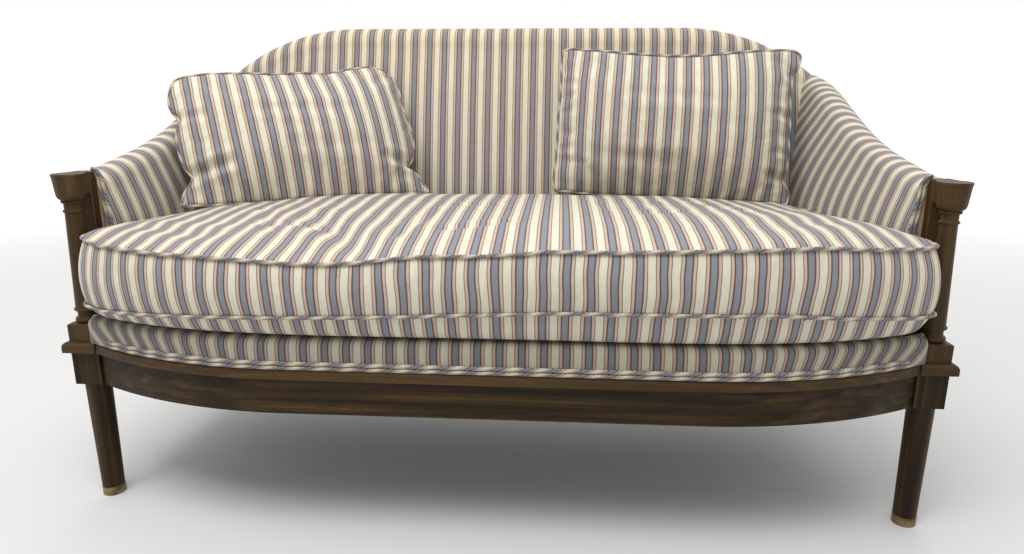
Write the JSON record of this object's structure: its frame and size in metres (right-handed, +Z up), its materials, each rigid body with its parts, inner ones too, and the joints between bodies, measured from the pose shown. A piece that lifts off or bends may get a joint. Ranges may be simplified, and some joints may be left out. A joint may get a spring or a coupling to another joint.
{
  "type": "settee",
  "caption": "Settee with turned front columns, bowed moulded seat rail, arched padded back, swooping padded arms, loose seat cushion and loose pillows in striped cloth.",
  "frame": {"origin": "on the floor under the middle of the settee", "axes": "+Z up, +X to the right of someone who looks at the front, the front faces -Y"},
  "size_m": [1.519, 0.7986, 0.8832],
  "materials": {
    "show_wood": "dark aged walnut, waxed, worn lighter on the edges",
    "frame_wood": "plain unfinished hardwood, hidden by the covers",
    "ferrule_brass": "aged brass, dull",
    "steel": "plain steel",
    "striped_cloth": "woven cotton stripe in cream, tan, plum and blue-grey",
    "lining": "plain cotton lining",
    "jute": "woven jute webbing",
    "black_cloth": "thin black dust cloth"
  },
  "bodies": {
    "settee": {"arm_rail_left": "frame_wood", "arm_rail_right": "frame_wood", "arm_stile_left": "show_wood", "arm_stile_right": "show_wood", "arm_tack_rail_left": "frame_wood", "arm_tack_rail_right": "frame_wood", "arm_upright_left": "frame_wood", "arm_upright_right": "frame_wood", "back_rail": "frame_wood", "back_tack_rail": "frame_wood", "back_upright_left": "frame_wood", "back_upright_right": "frame_wood", "capital_left": "show_wood", "capital_right": "show_wood", "corner_block_screws": "steel", "corner_blocks": "frame_wood", "corner_moulding_left": "show_wood", "corner_moulding_right": "show_wood", "crest_rail": "frame_wood", "dust_cover": "black_cloth", "front_column_left": "show_wood", "front_column_right": "show_wood", "front_edge_roll": "striped_cloth", "front_ferrule_left": "ferrule_brass", "front_ferrule_right": "ferrule_brass", "front_leg_left": "show_wood", "front_leg_right": "show_wood", "front_moulding": "show_wood", "front_rail": "show_wood", "inside_arm_left": "striped_cloth", "inside_arm_right": "striped_cloth", "inside_back": "striped_cloth", "outside_arm_left": "striped_cloth", "outside_arm_right": "striped_cloth", "outside_back": "striped_cloth", "rear_glides": "steel", "rear_post_left": "show_wood", "rear_post_right": "show_wood", "seat_deck": "lining", "side_moulding_left": "show_wood", "side_moulding_right": "show_wood", "side_rail_left": "show_wood", "side_rail_right": "show_wood", "webbing_crosswise": "jute", "webbing_lengthwise": "jute"},
    "seat_cushion_body": {"seat_cushion": "striped_cloth"},
    "pillow_left_body": {"pillow_left": "striped_cloth"},
    "pillow_right_body": {"pillow_right": "striped_cloth"}
  },
  "joints": [
    {"name": "cushion_lift", "type": "slide", "parent": "settee", "child": "seat_cushion_body", "axis": [0, 0, 1], "range_m": [0, 0.3]},
    {"name": "left_pillow_lift", "type": "slide", "parent": "seat_cushion_body", "child": "pillow_left_body", "axis": [0, 0, 1], "range_m": [0, 0.25]},
    {"name": "right_pillow_lift", "type": "slide", "parent": "seat_cushion_body", "child": "pillow_right_body", "axis": [0, 0, 1], "range_m": [0, 0.25]}
  ]
}
